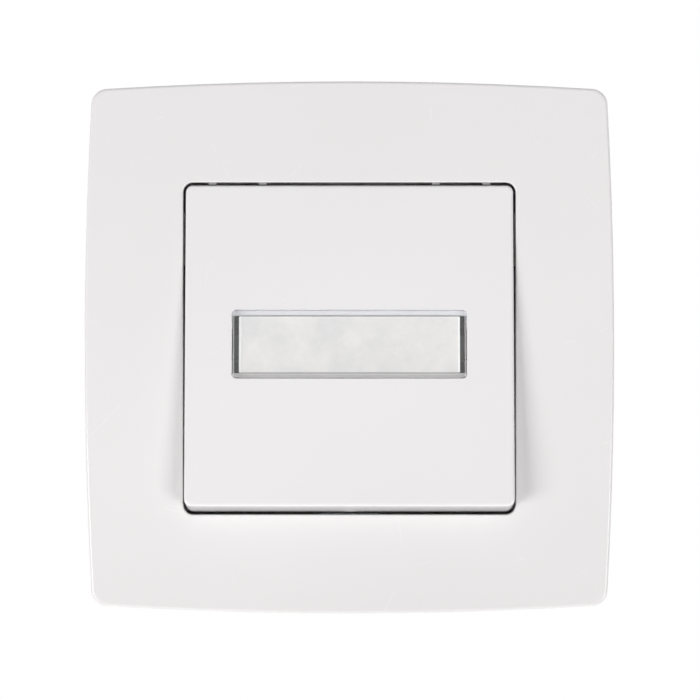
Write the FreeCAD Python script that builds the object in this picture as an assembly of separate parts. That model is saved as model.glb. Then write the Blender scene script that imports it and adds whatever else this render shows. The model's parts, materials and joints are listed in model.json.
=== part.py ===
import FreeCAD, Part
import math
import os

# Illuminated push button switch for flush mounting, in millimetres.
# X runs to the right, Z up, and Y into the wall. The wall surface is the plane Y = 0,
# the support plate lies on it, and the origin is midway between the two box screws.

V = FreeCAD.Vector
X_AXIS = V(1, 0, 0)
Y_AXIS = V(0, 1, 0)
ORIGIN = V(0, 0, 0)

# How far cutters run past a face, how far joined pieces run into each other, and what counts as straight
past = 1.0
into = 0.2
straight = 0.999

# Cover frame
frame_w = 84.0
frame_h = 84.4
frame_depth = 9.4
frame_side_bow = 1.19
frame_top_bow = 1.34
frame_corner_r = 2.6
frame_edge_r = 0.5
frame_wall = 2.0
opening_w = 52.75
opening_h = 52.7
opening_z = -0.18
opening_r = 1.6
opening_edge_r = 0.25
lip_t = 1.6
collar_step = 1.2
collar_t = 1.5
rib_t = 1.0
rib_drop = 3.4
latch_bar = 0.6
latch_clear = 0.4
latch_side = 0.3

# Support plate
plate_side = 71.0
plate_t = 1.2
plate_corner_r = 5.0
box_screw_spacing = 60.0
box_screw_hole_r = 1.8
box_screw_slot = 6.0
window_step = 0.2
window_corner_r = 6.0
join_notch_w = 9.0
join_notch_depth = 1.8
bead_w = 1.8
bead_l = 44.0
bead_rise = 0.5
bead_edge_r = 0.3
bead_edge = 2.3

# Clip ring between plate and frame
ring_side = 62.0
ring_inner = 50.6
ring_t = 2.0
ring_corner_r = 3.0
ring_inner_r = 2.0
bracket_gap = 0.25
bracket_slip = 0.2
bracket_set = 0.2
bracket_t = 1.1
web_drop = 0.5
web_least = 0.3
barb = 0.45
barb_t = 1.0
barb_drop = 1.2
barb_inset = 0.3
side_bracket_z = (13.0, 21.4)
top_bracket_x = (13.2, 22.4)
post_w = 1.2
peg_r = 1.2
peg_at = 28.4
peg_rise = 23.5
peg_fit = 0.05
peg_short = 0.1
ring_notch_w = 10.0
ring_strip = 1.3
ring_gap = 0.3
head_clear = 0.4

# Housing behind the wall
housing_w = 38.0
housing_h = 42.0
housing_depth = 22.0
housing_wall = 1.5
housing_corner = 4.0
housing_edge_r = 1.0
panel_w = 14.0
panel_l = 13.0
panel_depth = 0.4
panel_r = 1.5
gauge_l = 10.0
gauge_w = 1.6
gauge_depth = 0.5
gauge_z = 6.0
shelf_half = 7.0
shelf_reach = 3.0
gusset_t = 1.0
gusset_l = 4.5
gusset_depth = 2.2
seat_h = 4.0
post_web_t = 1.2
spigot_gap = 0.3
cover_side = 1.8
cover_end = 2.0
flange_t = 1.8
flange_corner_r = 2.0
guide_wall = 1.6
spigot_depth = 2.7
spigot_wall = 1.6

# Rivets
rivet_r = 1.5
rivet_head_r = 2.4
rivet_head_t = 0.6
rivet_x = 14.3
rivet_z = (-14.3, 5.0)
rivet_post_r = 2.4
rivet_bore_r = 0.8
rivet_fit = 0.05

# Button, in its own frame: the pivot is the origin and the face is square to Y
tilt_rest = 5.4
press_angle = 5.0
pivot_y = -5.0
button_w = 51.9
button_h = 50.8
face_dist = 6.47
face_z = -0.17
button_corner_r = 1.1
button_edge_r = 0.45
button_wall = 1.7
button_face_t = 2.0
skirt_top = 5.3
skirt_bottom = 6.5
bottom_draft = 6.0
rib_inset = 4.5
rib_rise = 1.4
rib_start = 9.0

# Label window in the button
label_w = 37.0
label_h = 10.7
label_rise = 0.1
label_gap = 0.12
label_corner_r = 0.7
lens_t = 1.3
lens_proud = 0.18
lens_seat = 1.5
lens_seat_gap = 0.05
rim_clear = 0.1
lens_edge_r = 0.25
card_clear = 0.1
label_rim = 0.9
card_t = 0.3
tray_t = 1.0
tray_rim = 0.8
hook_w = 5.0
hook_t = 0.65
hook_toe = 0.5
hook_gap = 0.1
toe_t = 0.8
slot_end_gap = 0.05
end_ledge = 0.3
card_gap = 0.05
tray_floor = 0.5
tray_corner_r = 0.2
chamber_wall = 1.2
chamber_r = 0.8

# Cradle that carries the button
cradle_w = 33.0
cradle_h = 34.0
cradle_t = 1.5
cradle_gap = 0.5
cradle_window_w = 24.0
cradle_window_h = 8.4
cheek_t = 1.6
cheek_h = 8.0
cheek_foot = 0.4
cheek_pocket = 0.6
trunnion_r = 1.5
trunnion_gap = 0.05
stud_at = (12.0, 13.0)
stud_r = 2.0
stud_pin_r = 1.2
stud_pin_fit = 0.05
stud_over = 0.6
cradle_corner_r = 2.0
finger_z = -14.0
finger_r = 1.5
finger_tip = 1.6
finger_web = 4.0
finger_web_t = 1.0
pin_end_gap = 0.2

# Bearing ears on the mechanism cover
ear_gap = 0.35
ear_t = 2.4
ear_h = 8.0
ear_top = 2.4
ear_root = 0.3
ear_waist = 0.8
ear_crown = 0.45

# Plunger and contacts
plunger_r = 2.2
plunger_gap = 0.05
plunger_edge_r = 0.4
plunger_pass = 0.2
finger_gap = 0.02
plunger_flange_r = 3.7
plunger_flange_t = 1.2
guide_end = 1.7
guide_gap = 0.3
stem_r = 1.2
stem_head_r = 1.9
stem_head_t = 0.6
shelf_y = 11.0
shelf_t = 1.5
shoulder_y = 12.9
bridge_y = 14.2
bridge_t = 0.8
bridge_w = 18.0
bridge_h = 4.0
bridge_corner_r = 1.2
bridge_fit = 0.05
sleeve_in = 0.1
sleeve_clear = 0.3
tip_r = 1.2
tip_t = 0.7
tip_x = 7.4
contact_gap = 0.02
fixed_tip_t = 0.6
fixed_tip_more = 0.2
tip_edge_r = 0.2

# Return spring
spring_mean_r = 2.95
spring_wire_r = 0.25
spring_turns = 5.5
spring_end_gap = 0.02

# Terminals
strip_t = 0.8
pad_w = 5.0
pad_in = 2.2
leg_x = (8.6, 11.6)
cage_x = 11.0
cage_clear = 1.3
cage_side = 7.4
cage_wall = 1.1
cage_depth = 5.6
cage_corner_r = 0.6
cage_gap = 0.2
clamp_gap = 0.15
clamp_lift = 0.1
wire_entry = 5.0
entry_drop = 0.5
entry_lead = 0.8
clamp_t = 0.9
screw_r = 1.45
screw_fit = 0.05
screw_pass = 0.25
terminal_head_r = 2.3
terminal_head_t = 1.4
terminal_head_in = 0.3
driver_clear = 0.3
slot_w = 0.8
slot_depth = 0.7

# Lamp unit
holder_w = 16.0
holder_h = 8.0
holder_front = -3.9
holder_back = 10.0
holder_gap = 0.2
holder_r = 0.4
holder_lip = 1.2
holder_lip_r = 1.0
holder_wall = 1.3
holder_floor = 1.2
lamp_r = 2.5
lamp_front = -5.4
lamp_base = 3.6
lamp_fit = 0.1
resistor_r = 1.2
resistor_l = 6.0
resistor_y = 7.6
resistor_edge_r = 0.35
resistor_in = 0.6
lead_r = 0.35
lead_x = 1.2
lead_fit = 0.15
lead_bend = 2.2
leaf_t = 0.5
leaf_h = 4.0
leaf_start = 5.0
leaf_foot = 1.8

# Claws that spread against the box wall
claw_z = -10.0
claw_screw_x = 24.5
claw_pivot_x = 21.2
claw_pivot_y = 4.5
claw_swing = 28.0
claw_t = 1.0
claw_leg_w = 2.0
claw_leg_end = 19.5
claw_web_start = 13.4
claw_tip_out = 3.2
claw_tip_back = 2.4
claw_eye_r = 1.9
claw_pin_r = 1.0
claw_teeth = 3
claw_tooth_depth = 1.2
claw_tip_t = 1.6
claw_tip_flat = 0.8
claw_head_r = 3.0
claw_head_t = 1.8
claw_head_edge_r = 0.5
claw_screw_end = 12.0
lug_t = 1.0
lug_gap = 0.3
lug_round = 1.9
pin_gap = 0.05
nut_w = 3.2
nut_h = 5.2
nut_t = 3.0
nut_side_gap = 0.35
nut_pin_r = 0.9
nut_pin_gap = 0.2
nut_bore_gap = 0.05

# Planes and places that follow from the sizes above
face_y = -frame_depth
lip_back = face_y + lip_t
housing_inner_w = housing_w - 2 * housing_wall
housing_inner_h = housing_h - 2 * housing_wall
window_w = housing_inner_w - 2 * window_step
window_h = housing_inner_h - 2 * window_step
flange_w = housing_w + 2 * cover_side
flange_h = housing_h + 2 * cover_end
card_w = label_w - 2 * (end_ledge + hook_t + card_clear)
card_h = label_h - 2 * label_rim
cage_z = housing_inner_h / 2 - cage_clear - cage_side / 2
plate_front = -plate_t
ring_front = plate_front - ring_t
collar_end = ring_front - ring_gap
bracket_front = lip_back + bracket_set
flange_front = plate_front - flange_t
sin_rest = math.sin(math.radians(tilt_rest))
cos_rest = math.cos(math.radians(tilt_rest))
sin_pressed = math.sin(math.radians(tilt_rest - press_angle))
cos_pressed = math.cos(math.radians(tilt_rest - press_angle))
button_face = -face_dist
label_z = face_z + label_rise
lens_front = button_face - lens_proud
lens_back = lens_front + lens_t
card_back = lens_back + card_t
tray_back = card_back + tray_t
cradle_front = tray_back + cradle_gap
cradle_back = cradle_front + cradle_t
cradle_half = cradle_w / 2
ear_inner = cradle_half + ear_gap
ear_outer = ear_inner + ear_t
finger_ball = finger_tip - finger_r
finger_rest = pivot_y + finger_ball * cos_rest + finger_z * sin_rest + finger_r
finger_pressed = pivot_y + finger_ball * cos_pressed + finger_z * sin_pressed + finger_r
stroke = finger_pressed - finger_rest
flange_top = guide_end + guide_gap
spring_start = flange_top + plunger_flange_t
bridge_back = bridge_y + bridge_t
fixed_tip_front = bridge_back + tip_t + stroke + contact_gap
strip_front = fixed_tip_front + fixed_tip_t
strip_back = strip_front + strip_t
back_wall = housing_depth - housing_wall
spigot_end = plate_front + spigot_depth
cage_y = back_wall - cage_gap - cage_depth / 2
clamp_top = cage_z + cage_side / 2 - cage_wall - clamp_lift
claw_inner = nut_h / 2 + nut_side_gap
claw_outer = claw_inner + claw_t
claw_arm = claw_screw_x - claw_pivot_x
nut_rise = claw_arm * math.tan(math.radians(claw_swing / 2))
nut_y = claw_pivot_y + nut_rise


def box(x0, x1, y0, y1, z0, z1):
    return Part.makeBox(x1 - x0, y1 - y0, z1 - z0, V(x0, y0, z0))


def cylinder(r, start, end):
    return Part.makeCylinder(r, end.sub(start).Length, start, end.sub(start))


def pin_y(r, x, z, y0, y1):
    return cylinder(r, V(x, y0, z), V(x, y1, z))


def pin_z(r, x, y, z0, z1):
    return cylinder(r, V(x, y, z0), V(x, y, z1))


def pin_x(r, y, z, x0, x1):
    return cylinder(r, V(x0, y, z), V(x1, y, z))


def joined(pieces):
    whole = pieces[0].multiFuse(pieces[1:]) if len(pieces) > 1 else pieces[0]
    return whole.removeSplitter()


def edges_along(shape, axis):
    found = []
    for edge in shape.Edges:
        if isinstance(edge.Curve, Part.Line) and abs(edge.Curve.Direction.dot(axis)) > straight:
            found.append(edge)
    return found


def slab(w, h, r, y0, y1, x=0.0, z=0.0):
    """A plate with rounded corners, w by h, from y0 to y1."""
    plate = box(x - w / 2, x + w / 2, y0, y1, z - h / 2, z + h / 2)
    if r > 0:
        plate = plate.makeFillet(r, edges_along(plate, Y_AXIS))
    return plate


def prism(points, z0, z1):
    """Points in the XY plane, carried from z0 to z1."""
    loop = [V(x, y, z0) for x, y in points]
    wire = Part.makePolygon(loop + loop[:1])
    return Part.Face(wire).extrude(V(0, 0, z1 - z0))


def side_profile(points, x0, x1):
    """Points in the YZ plane, carried from x0 to x1."""
    loop = [V(x0, y, z) for y, z in points]
    wire = Part.makePolygon(loop + loop[:1])
    return Part.Face(wire).extrude(V(x1 - x0, 0, 0))


def mirrored(shape):
    return shape.mirror(ORIGIN, X_AXIS)


def at_rest_tilt(shape):
    """Puts a piece of the button from its own frame to its rest position."""
    placed = shape.copy()
    placed.rotate(ORIGIN, X_AXIS, -tilt_rest)
    placed.translate(V(0, pivot_y, 0))
    return placed


def edges_at_y(shape, y, tolerance=0.01):
    found = []
    for edge in shape.Edges:
        bounds = edge.BoundBox
        if abs(bounds.YMin - y) < tolerance and abs(bounds.YMax - y) < tolerance:
            found.append(edge)
    return found


def bowed_outline(inset, y):
    """The frame's outline: four long arcs that meet at the corners, drawn in by inset."""
    half_w = frame_w / 2 - inset
    half_h = frame_h / 2 - inset
    corner_x = half_w - frame_side_bow
    corner_z = half_h - frame_top_bow
    corners = [V(corner_x, y, -corner_z), V(corner_x, y, corner_z)]
    corners += [V(-corner_x, y, corner_z), V(-corner_x, y, -corner_z)]
    middles = [V(half_w, y, 0), V(0, y, half_h), V(-half_w, y, 0), V(0, y, -half_h)]
    arcs = []
    for i in range(4):
        arcs.append(Part.Arc(corners[i], middles[i], corners[(i + 1) % 4]).toShape())
    return Part.Wire(arcs)


def bowed_block(inset, y0, y1):
    block = Part.Face(bowed_outline(inset, y0)).extrude(V(0, y1 - y0, 0))
    radius = max(frame_corner_r - inset, frame_edge_r)
    return block.makeFillet(radius, edges_along(block, Y_AXIS))


def bracket_spans():
    """Places of the clip ring's brackets: side, first and last coordinate along that side."""
    spans = []
    for side in ("left", "right"):
        spans.append((side, side_bracket_z[0], side_bracket_z[1]))
        spans.append((side, -side_bracket_z[1], -side_bracket_z[0]))
    for side in ("top", "bottom"):
        spans.append((side, top_bracket_x[0], top_bracket_x[1]))
        spans.append((side, -top_bracket_x[1], -top_bracket_x[0]))
    return spans


def side_box(side, inner, outer, y0, y1, a, b):
    """A block beside the opening: inner and outer are distances from its middle."""
    if side == "left":
        return box(-outer, -inner, y0, y1, a, b)
    if side == "right":
        return box(inner, outer, y0, y1, a, b)
    if side == "top":
        return box(a, b, y0, y1, opening_z + inner, opening_z + outer)
    return box(a, b, y0, y1, opening_z - outer, opening_z - inner)


def side_half(side):
    return opening_w / 2 if side in ("left", "right") else opening_h / 2


def cover_frame():
    outer = bowed_block(0.0, face_y, 0.0)
    outer = outer.makeFillet(frame_edge_r, edges_at_y(outer, face_y))
    shell = outer.cut(bowed_block(frame_wall, face_y + frame_wall, past))
    collar_w = opening_w + 2 * collar_step
    collar_h = opening_h + 2 * collar_step
    collar = slab(
        collar_w + 2 * collar_t, collar_h + 2 * collar_t, opening_r + collar_t,
        face_y + frame_wall / 2, collar_end, 0, opening_z,
    )
    reach_x = frame_w / 2 - frame_wall / 2 - frame_side_bow
    reach_z = frame_h / 2 - frame_wall / 2 - frame_top_bow
    ribs = []
    for sx in (-1, 1):
        for sz in (-1, 1):
            rib_z = opening_z + sz * (collar_h / 2 + collar_t / 2)
            rib_x = sx * (collar_w / 2 + collar_t / 2)
            x_pair = sorted((sx * collar_w / 2, sx * reach_x))
            z_pair = sorted((opening_z + sz * collar_h / 2, sz * reach_z))
            y0 = face_y + frame_wall / 2
            y1 = face_y + frame_wall + rib_drop
            ribs.append(box(x_pair[0], x_pair[1], y0, y1, rib_z - rib_t / 2, rib_z + rib_t / 2))
            ribs.append(box(rib_x - rib_t / 2, rib_x + rib_t / 2, y0, y1, z_pair[0], z_pair[1]))
    body = joined([shell, collar] + ribs)
    body = body.cut(slab(collar_w, collar_h, opening_r + collar_step, lip_back, past, 0, opening_z))
    body = body.cut(slab(opening_w, opening_h, opening_r, face_y - past, past, 0, opening_z))
    for side, a, b in bracket_spans():
        inner = side_half(side) + collar_step - into
        outer = side_half(side) + collar_step + collar_t + into
        y1 = bracket_front + barb_drop + barb_t + latch_clear
        a -= latch_side
        b += latch_side
        body = body.cut(side_box(side, inner, outer, lip_back + latch_bar, y1, a, b))
    mouth = []
    between = (frame_w + opening_w) / 4
    for edge in edges_at_y(body, face_y):
        bounds = edge.BoundBox
        if max(bounds.XMax, -bounds.XMin, bounds.ZMax, -bounds.ZMin) < between:
            mouth.append(edge)
    return body.makeFillet(opening_edge_r, mouth)


def bracket_inner(side):
    """Distance of a bracket's inner face from the middle: just outside the button."""
    if side in ("left", "right"):
        return button_w / 2 + bracket_gap
    if side == "top":
        return opening_h / 2 - bracket_gap
    return opening_h / 2 + bracket_gap


def clip_ring():
    ring = slab(ring_side, ring_side, ring_corner_r, ring_front, plate_front)
    ring = ring.cut(slab(ring_inner, ring_inner, ring_inner_r, ring_front - past, past))
    pieces = [ring]
    for side, a, b in bracket_spans():
        inner = bracket_inner(side)
        outer = side_half(side) + collar_step - bracket_slip
        front = bracket_front
        for post in ((a, a + post_w), (b - post_w, b)):
            pieces.append(side_box(side, inner, outer, front, plate_front, post[0], post[1]))
        web = min(inner + bracket_t / 2, outer - web_least)
        pieces.append(side_box(side, web, outer, front + web_drop, plate_front, a, b))
        barb_end = side_half(side) + collar_step + barb
        barb_y = front + barb_drop
        pieces.append(side_box(side, web, barb_end, barb_y, barb_y + barb_t, a + barb_inset, b - barb_inset))
    for sx in (-1, 1):
        for sz in (-1, 1):
            x = sx * peg_at
            z = sz * peg_rise
            pieces.append(pin_y(peg_r, x, z, ring_front, -peg_short))
    ring = joined(pieces)
    keep = ring_inner / 2 + ring_strip
    half = ring_notch_w / 2
    reach = ring_side / 2 + past
    front = ring_front - past
    ring = ring.cut(box(keep, reach, front, 0, -half, half))
    ring = ring.cut(box(-reach, -keep, front, 0, -half, half))
    ring = ring.cut(box(-half, half, front, 0, keep, reach))
    ring = ring.cut(box(-half, half, front, 0, -reach, -keep))
    for sx in (-1, 1):
        ring = ring.cut(pin_y(claw_head_r + head_clear, sx * claw_screw_x, claw_z, front, 0))
    return ring


def plate_bead(s, upright):
    """A stiffening bead pressed forward near the plate's edge: the raised strip and the groove behind it."""
    groove_w = bead_w - plate_t / 2
    w, h = (bead_w, bead_l) if upright else (bead_l, bead_w)
    out = s * (plate_side / 2 - bead_edge)
    x, z = (out, 0) if upright else (0, out)
    front = plate_front - bead_rise
    ridge = slab(w, h, (bead_w - into) / 2, front, plate_front + into, x, z)
    ridge = ridge.makeFillet(bead_edge_r, edges_at_y(ridge, front))
    trim = bead_w - groove_w
    groove = slab(w - trim, h - trim, (groove_w - into) / 2, -bead_rise, past, x, z)
    return ridge, groove


def support_plate():
    plate = slab(plate_side, plate_side, plate_corner_r, plate_front, 0.0)
    for s in (-1, 1):
        for upright in (True, False):
            ridge, groove = plate_bead(s, upright)
            plate = plate.fuse(ridge).cut(groove)
    front = plate_front - past
    plate = plate.cut(slab(window_w, window_h, window_corner_r, front, past))
    half = box_screw_spacing / 2
    run = box_screw_slot / 2 - box_screw_hole_r
    edge = plate_side / 2
    for s in (-1, 1):
        slot = box(
            s * half - run, s * half + run, front, past,
            -box_screw_hole_r, box_screw_hole_r,
        )
        for end in (-run, run):
            slot = slot.fuse(pin_y(box_screw_hole_r, s * half + end, 0, front, past))
        plate = plate.cut(slot)
        plate = plate.cut(pin_y(box_screw_hole_r, 0, s * half, front, past))
        notch = join_notch_w / 2
        deep, beyond = sorted((s * (edge - join_notch_depth), s * (edge + past)))
        plate = plate.cut(box(-notch, notch, front - past, past, deep, beyond))
        plate = plate.cut(pin_y(screw_r + screw_pass, s * claw_screw_x, claw_z, front, past))
        for sz in (-1, 1):
            plate = plate.cut(pin_y(peg_r + peg_fit, s * peg_at, sz * peg_rise, front, past))
    lugs = [plate]
    for s in (-1, 1):
        for sz in (-1, 1):
            inner = claw_outer + lug_gap
            z0 = claw_z + min(sz * inner, sz * (inner + lug_t))
            x = s * claw_pivot_x
            lug = box(x - lug_round, x + lug_round, -plate_t / 2, claw_pivot_y, z0, z0 + lug_t)
            lug = lug.fuse(pin_z(lug_round, x, claw_pivot_y, z0, z0 + lug_t))
            hole = pin_z(claw_pin_r + pin_gap, x, claw_pivot_y, z0 - past, z0 + lug_t + past)
            lugs.append(lug.cut(hole))
    return joined(lugs)


def chamfered_block(w, h, c, y0, y1):
    """A block w by h along Y whose four long corners are cut off by c."""
    half_w = w / 2
    half_h = h / 2
    loop = []
    for sx, sz, first in ((1, 1, "z"), (1, -1, "x"), (-1, -1, "z"), (-1, 1, "x")):
        on_side = V(sx * half_w, y0, sz * (half_h - c))
        on_end = V(sx * (half_w - c), y0, sz * half_h)
        loop += [on_end, on_side] if first == "z" else [on_side, on_end]
    wire = Part.makePolygon(loop + loop[:1])
    return Part.Face(wire).extrude(V(0, y1 - y0, 0))


def funnel(x, z, half, y0, y1):
    """A square lead-in that widens from half a side at y0 by its own depth at y1."""
    squares = []
    for y, reach in ((y0, half), (y1, half + y1 - y0)):
        corners = [V(x - reach, y, z - reach), V(x + reach, y, z - reach)]
        corners += [V(x + reach, y, z + reach), V(x - reach, y, z + reach)]
        squares.append(Part.makePolygon(corners + corners[:1]))
    return Part.makeLoft(squares, True, True)


def side_panel(s):
    """A shallow recess in the housing's upper or lower wall, left by the mould to save resin."""
    outside = housing_h / 2
    z0, z1 = sorted((s * (outside - panel_depth), s * (outside + past)))
    middle = (spigot_end + housing_depth) / 2
    cutter = box(-panel_w / 2, panel_w / 2, middle - panel_l / 2, middle + panel_l / 2, z0, z1)
    return cutter.makeFillet(panel_r, edges_along(cutter, V(0, 0, 1)))


def base_housing():
    body = chamfered_block(housing_w, housing_h, housing_corner, 0.0, housing_depth)
    body = body.makeFillet(housing_edge_r, edges_at_y(body, housing_depth))
    body = body.cut(chamfered_block(housing_inner_w, housing_inner_h, housing_corner, -past, back_wall))
    floor = back_wall + into
    inside = -housing_inner_h / 2 - into
    shelf_end = finger_z + plunger_r + shelf_reach
    pieces = [body, box(-shelf_half, shelf_half, shelf_y, shelf_y + shelf_t, inside, shelf_end)]
    for sx in (-1, 1):
        x_pair = sorted((sx * shelf_half, sx * (shelf_half - gusset_t)))
        pieces.append(box(x_pair[0], x_pair[1], shelf_y - gusset_l, shelf_y, inside, inside + gusset_depth))
        x_pair = sorted((sx * (tip_x - pad_in), sx * (tip_x + tip_r + fixed_tip_more)))
        half = seat_h / 2
        pieces.append(box(x_pair[0], x_pair[1], strip_back, floor, finger_z - half, finger_z + half))
        for z in rivet_z:
            pieces.append(pin_y(rivet_post_r, sx * rivet_x, z, spigot_end + spigot_gap, floor))
            x_pair = sorted((sx * rivet_x, sx * (housing_inner_w / 2 + into)))
            half = post_web_t / 2
            pieces.append(box(x_pair[0], x_pair[1], spigot_end + spigot_gap, floor, z - half, z + half))
    body = joined(pieces)
    body = body.cut(pin_y(plunger_r + plunger_pass, 0, finger_z, shelf_y - past, shelf_y + shelf_t + past))
    for s in (-1, 1):
        body = body.cut(side_panel(s))
        for z in rivet_z:
            body = body.cut(pin_y(rivet_r + rivet_fit, s * rivet_x, z, -past, housing_depth + past))
        half = wire_entry / 2
        x = s * cage_x
        z = cage_z - entry_drop
        body = body.cut(box(x - half, x + half, back_wall - past, housing_depth + past, z - half, z + half))
        body = body.cut(funnel(x, z, half, housing_depth - entry_lead, housing_depth))
        top = housing_h / 2
        driver_r = terminal_head_r + driver_clear
        body = body.cut(pin_z(driver_r, x, cage_y, top - housing_wall - past, top + past))
    gauge_r = (gauge_w - into) / 2
    front = housing_depth - gauge_depth
    return body.cut(slab(gauge_w, gauge_l, gauge_r, front, housing_depth + past, 0, gauge_z))


def mechanism_cover():
    plate = slab(flange_w, flange_h, flange_corner_r, flange_front, plate_front)
    spigot_w = window_w - 2 * spigot_gap
    spigot_h = window_h - 2 * spigot_gap
    spigot_r = window_corner_r - spigot_gap
    hollow_w = spigot_w - 2 * spigot_wall
    hollow_h = spigot_h - 2 * spigot_wall
    spigot = slab(spigot_w, spigot_h, spigot_r, plate_front, spigot_end)
    spigot = spigot.cut(slab(hollow_w, hollow_h, spigot_r - spigot_wall, plate_front, spigot_end + past))
    pieces = [plate, spigot]
    pieces.append(pin_y(plunger_r + guide_wall, 0, finger_z, flange_front, guide_end))
    tip = pivot_y - ear_top
    root = flange_front + ear_root
    for sx in (-1, 1):
        for z in rivet_z:
            pieces.append(pin_y(rivet_post_r, sx * rivet_x, z, flange_front, spigot_end))
        x_pair = sorted((sx * ear_inner, sx * ear_outer))
        half = ear_h / 2
        waist = half * ear_waist
        crown = half * ear_crown
        profile = [(root, -half), (root, half), (pivot_y, waist)]
        profile += [(tip, crown), (tip, -crown), (pivot_y, -waist)]
        pieces.append(side_profile(profile, x_pair[0], x_pair[1]))
    body = joined(pieces)
    front = flange_front - past
    hole_w = holder_w + 2 * holder_gap
    hole_h = holder_h + 2 * holder_gap
    body = body.cut(slab(hole_w, hole_h, holder_r, front, guide_end + past))
    body = body.cut(pin_y(plunger_r + plunger_gap, 0, finger_z, front, guide_end + past))
    half = trunnion_r + cheek_foot + ear_gap
    for sx in (-1, 1):
        for z in rivet_z:
            body = body.cut(pin_y(rivet_r + rivet_fit, sx * rivet_x, z, front, spigot_end + past))
        x_pair = sorted((sx * (cradle_half - cheek_t - ear_gap), sx * (cradle_half + ear_gap)))
        body = body.cut(box(x_pair[0], x_pair[1], front, flange_front + cheek_pocket, -half, half))
    reach = ear_outer + past
    return body.cut(pin_x(trunnion_r + trunnion_gap, pivot_y, 0, -reach, reach))


def housing_rivets():
    rivets = []
    for sx in (-1, 1):
        for z in rivet_z:
            x = sx * rivet_x
            shank = pin_y(rivet_r, x, z, flange_front, housing_depth)
            head = pin_y(rivet_head_r, x, z, flange_front - rivet_head_t, flange_front)
            tail = pin_y(rivet_head_r, x, z, housing_depth, housing_depth + rivet_head_t)
            rivet = joined([shank, head, tail])
            bore = pin_y(rivet_bore_r, x, z, flange_front - 2 * past, housing_depth + 2 * past)
            rivets.append(rivet.cut(bore))
    return Part.makeCompound(rivets)


def push_button():
    """The moulded button shell, in the button's own frame."""
    top = face_z + button_h / 2
    bottom = face_z - button_h / 2
    slope = math.tan(math.radians(bottom_draft))
    rim_top = button_face + skirt_top
    rim_bottom = button_face + skirt_bottom
    foot = bottom - skirt_bottom * slope
    profile = [(button_face, top), (rim_top, top), (rim_bottom, foot), (button_face, bottom)]
    outer = side_profile(profile, -button_w / 2, button_w / 2)
    upright = []
    for edge in outer.Edges:
        bounds = edge.BoundBox
        if bounds.XLength < into and bounds.YLength > skirt_top / 2 and bounds.ZLength < skirt_top / 2:
            upright.append(edge)
    outer = outer.makeFillet(button_corner_r, upright)
    outer = outer.makeFillet(button_edge_r, edges_at_y(outer, button_face))
    inner_w = button_w / 2 - button_wall
    inner_top = top - button_wall
    inner_bottom = bottom + button_wall
    inner_face = button_face + button_face_t
    far = rim_bottom + 2 * past
    inner_foot = inner_bottom - (far - inner_face) * slope
    hollow = [(inner_face, inner_top), (far, inner_top), (far, inner_foot), (inner_face, inner_bottom)]
    shell = outer.cut(side_profile(hollow, -inner_w, inner_w))
    root = inner_face - into
    pocket_w = label_w + 2 * label_gap
    pocket_h = label_h + 2 * label_gap
    well_h = card_h + 2 * label_gap
    chamber = slab(
        pocket_w + 2 * chamber_wall, pocket_h + 2 * chamber_wall, chamber_r, root, tray_back, 0, label_z,
    )
    pieces = [shell, chamber]
    rib_x = inner_w - rib_inset
    for sx in (-1, 1):
        for sz in (-1, 1):
            x = sx * stud_at[0]
            z = sz * stud_at[1]
            pieces.append(pin_y(stud_r, x, z, root, cradle_front))
            pieces.append(pin_y(stud_pin_r, x, z, cradle_front, cradle_back + stud_over))
            z_pair = sorted((sz * rib_start, sz * (button_h / 2 - button_wall)))
            x_pair = (sx * rib_x - rib_t / 2, sx * rib_x + rib_t / 2)
            pieces.append(box(x_pair[0], x_pair[1], root, inner_face + rib_rise, z_pair[0], z_pair[1]))
    body = joined(pieces)
    front = button_face - past
    pocket_r = label_corner_r + label_gap
    body = body.cut(slab(pocket_w, pocket_h, pocket_r, front, button_face + lens_seat, 0, label_z))
    well_w = label_w - 2 * (end_ledge - slot_end_gap)
    return body.cut(slab(well_w, well_h, tray_corner_r, button_face, tray_back + past, 0, label_z))


def label_window():
    """The clear window in the button's own frame: lens, a rail above and below the card, two snap legs."""
    lens = slab(label_w, label_h, label_corner_r, lens_front, lens_back, 0, label_z)
    lens = lens.makeFillet(lens_edge_r, edges_at_y(lens, lens_front))
    rim_back = button_face + lens_seat - lens_seat_gap
    rim = slab(label_w, label_h, label_corner_r, lens_back - into, rim_back, 0, label_z)
    half = card_h / 2 + rim_clear
    rim = rim.cut(box(-label_w, label_w, lens_back, rim_back + past, label_z - half, label_z + half))
    pieces = [lens, rim]
    z0 = label_z - hook_w / 2
    toe_y = tray_back + hook_gap
    for sx in (-1, 1):
        end = sx * (label_w / 2 - end_ledge)
        x_pair = sorted((end, end - sx * hook_t))
        pieces.append(box(x_pair[0], x_pair[1], lens_back, toe_y + toe_t, z0, z0 + hook_w))
        toe_x = sorted((end - sx * hook_t / 2, end + sx * hook_toe))
        pieces.append(box(toe_x[0], toe_x[1], toe_y, toe_y + toe_t, z0, z0 + hook_w))
    return joined(pieces)


def label_card():
    return slab(card_w, card_h, tray_corner_r, lens_back + card_gap, card_back, 0, label_z)


def label_tray():
    """The opal tray that spreads the lamp's light behind the card."""
    block = slab(card_w, card_h, tray_corner_r, card_back, tray_back, 0, label_z)
    inner_w = card_w - 2 * tray_rim
    inner_h = card_h - 2 * tray_rim
    floor = card_back + tray_floor
    return block.cut(slab(inner_w, inner_h, tray_corner_r, floor, tray_back + past, 0, label_z))


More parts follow.
